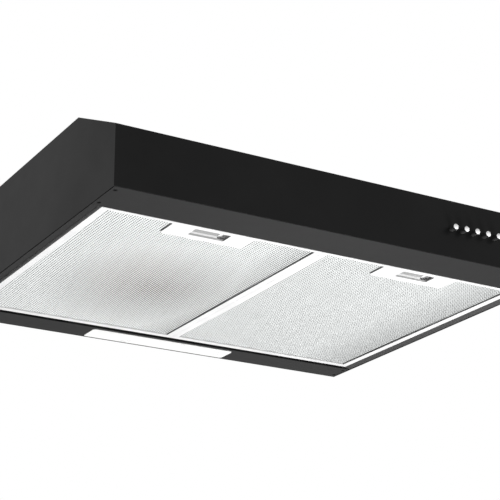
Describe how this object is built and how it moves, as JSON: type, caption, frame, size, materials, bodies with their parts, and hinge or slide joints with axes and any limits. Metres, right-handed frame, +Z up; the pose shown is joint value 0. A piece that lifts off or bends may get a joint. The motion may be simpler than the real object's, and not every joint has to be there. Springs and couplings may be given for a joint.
{
  "type": "under cabinet range hood",
  "caption": "Slim black canopy hood for under a wall cabinet, with hinged mesh grease filters, push buttons, a lamp at the rear and an exhaust collar on top.",
  "frame": {"origin": "centre of the four cabinet screw holes, on the outer face of the top", "axes": "+Z up out of the top towards the cabinet, +Y back towards the wall, +X to the right along the width as seen from the front"},
  "size_m": [0.6, 0.5103, 0.1605],
  "materials": {
    "canopy_paint": "satin charcoal enamel",
    "rail_paint": "satin charcoal enamel",
    "screw_steel": "dark zinc",
    "lens_plastic": "milky diffuser",
    "lamp_plastic": "white moulding",
    "board": "white solder mask",
    "black_plastic": "black moulding",
    "button_white": "polished white",
    "filter_aluminium": "bright natural aluminium",
    "filter_net": "layered aluminium mesh",
    "latch_plastic": "white moulding",
    "blower_steel": "galvanised sheet",
    "wheel_plastic": "black moulding",
    "motor_steel": "plated steel",
    "rubber_mount": "black rubber",
    "grey_plastic": "grey moulding"
  },
  "bodies": {
    "hood": {"top_panel": "canopy_paint", "front_panel": "canopy_paint", "back_panel": "canopy_paint", "rear_rail": "rail_paint", "side_panel_left": "canopy_paint", "side_panel_right": "canopy_paint", "rail_screws": "screw_steel", "lamp_lens": "lens_plastic", "lamp_housing": "lamp_plastic", "led_board": "board", "led_driver": "grey_plastic", "switch_block": "black_plastic", "exhaust_box": "blower_steel", "exhaust_collar": "black_plastic", "damper_seat": "black_plastic", "collar_screws": "screw_steel", "damper_rod": "blower_steel", "junction_box": "grey_plastic", "junction_lid": "grey_plastic", "cable_gland": "black_plastic", "capacitor": "grey_plastic", "blower_scroll_left": "blower_steel", "scroll_cover_left": "blower_steel", "motor_left": "motor_steel", "inlet_grille_left": "wheel_plastic", "hangers_left": "rubber_mount", "blower_scroll_right": "blower_steel", "scroll_cover_right": "blower_steel", "motor_right": "motor_steel", "inlet_grille_right": "wheel_plastic", "hangers_right": "rubber_mount"},
    "button_1": {"button_stem_1": "black_plastic", "button_cap_1": "button_white"},
    "button_2": {"button_stem_2": "black_plastic", "button_cap_2": "button_white"},
    "button_3": {"button_stem_3": "black_plastic", "button_cap_3": "button_white"},
    "button_4": {"button_stem_4": "black_plastic", "button_cap_4": "button_white"},
    "button_5": {"button_stem_5": "black_plastic", "button_cap_5": "button_white"},
    "filter_left": {"filter_frame_left": "filter_aluminium", "filter_mesh_left": "filter_net", "latch_housing_left": "latch_plastic"},
    "latch_left": {"latch_slider_left": "latch_plastic"},
    "wheel_left": {"impeller_left": "wheel_plastic", "motor_shaft_left": "motor_steel"},
    "flap_left": {"damper_flap_left": "black_plastic"},
    "filter_right": {"filter_frame_right": "filter_aluminium", "filter_mesh_right": "filter_net", "latch_housing_right": "latch_plastic"},
    "latch_right": {"latch_slider_right": "latch_plastic"},
    "wheel_right": {"impeller_right": "wheel_plastic", "motor_shaft_right": "motor_steel"},
    "flap_right": {"damper_flap_right": "black_plastic"}
  },
  "joints": [
    {"name": "button_1_press", "type": "slide", "parent": "hood", "child": "button_1", "axis": [0, 1, 0], "range_m": [0, 0.0035], "stiffness_N_per_m": 400, "springref_m": -0.001},
    {"name": "button_2_press", "type": "slide", "parent": "hood", "child": "button_2", "axis": [0, 1, 0], "range_m": [0, 0.0035], "stiffness_N_per_m": 400, "springref_m": -0.001},
    {"name": "button_3_press", "type": "slide", "parent": "hood", "child": "button_3", "axis": [0, 1, 0], "range_m": [0, 0.0035], "stiffness_N_per_m": 400, "springref_m": -0.001},
    {"name": "button_4_press", "type": "slide", "parent": "hood", "child": "button_4", "axis": [0, 1, 0], "range_m": [0, 0.0035], "stiffness_N_per_m": 400, "springref_m": -0.001},
    {"name": "button_5_press", "type": "slide", "parent": "hood", "child": "button_5", "axis": [0, 1, 0], "range_m": [0, 0.0035], "stiffness_N_per_m": 400, "springref_m": -0.001},
    {"name": "filter_left_hinge", "type": "hinge", "parent": "hood", "child": "filter_left", "pos_m": [-0.14245, 0.1554, -0.1104], "axis": [1, 0, 0], "range_deg": [0, 70]},
    {"name": "latch_left_slide", "type": "slide", "parent": "filter_left", "child": "latch_left", "axis": [0, 1, 0], "range_m": [0, 0.005], "stiffness_N_per_m": 300, "springref_m": -0.002},
    {"name": "wheel_left_spin", "type": "hinge", "parent": "hood", "child": "wheel_left", "pos_m": [-0.15, -0.03, -0.06], "axis": [0, 0, 1], "continuous": true},
    {"name": "damper_left_swing", "type": "hinge", "parent": "hood", "child": "flap_left", "pos_m": [0, 0.082, 0.0065], "axis": [0, 1, 0], "range_deg": [0, 75]},
    {"name": "filter_right_hinge", "type": "hinge", "parent": "hood", "child": "filter_right", "pos_m": [0.14245, 0.1554, -0.1104], "axis": [1, 0, 0], "range_deg": [0, 70]},
    {"name": "latch_right_slide", "type": "slide", "parent": "filter_right", "child": "latch_right", "axis": [0, 1, 0], "range_m": [0, 0.005], "stiffness_N_per_m": 300, "springref_m": -0.002},
    {"name": "wheel_right_spin", "type": "hinge", "parent": "hood", "child": "wheel_right", "pos_m": [0.15, -0.03, -0.06], "axis": [0, 0, 1], "continuous": true},
    {"name": "damper_right_swing", "type": "hinge", "parent": "hood", "child": "flap_right", "pos_m": [0, 0.082, 0.0065], "axis": [0, -1, 0], "range_deg": [0, 75]}
  ]
}
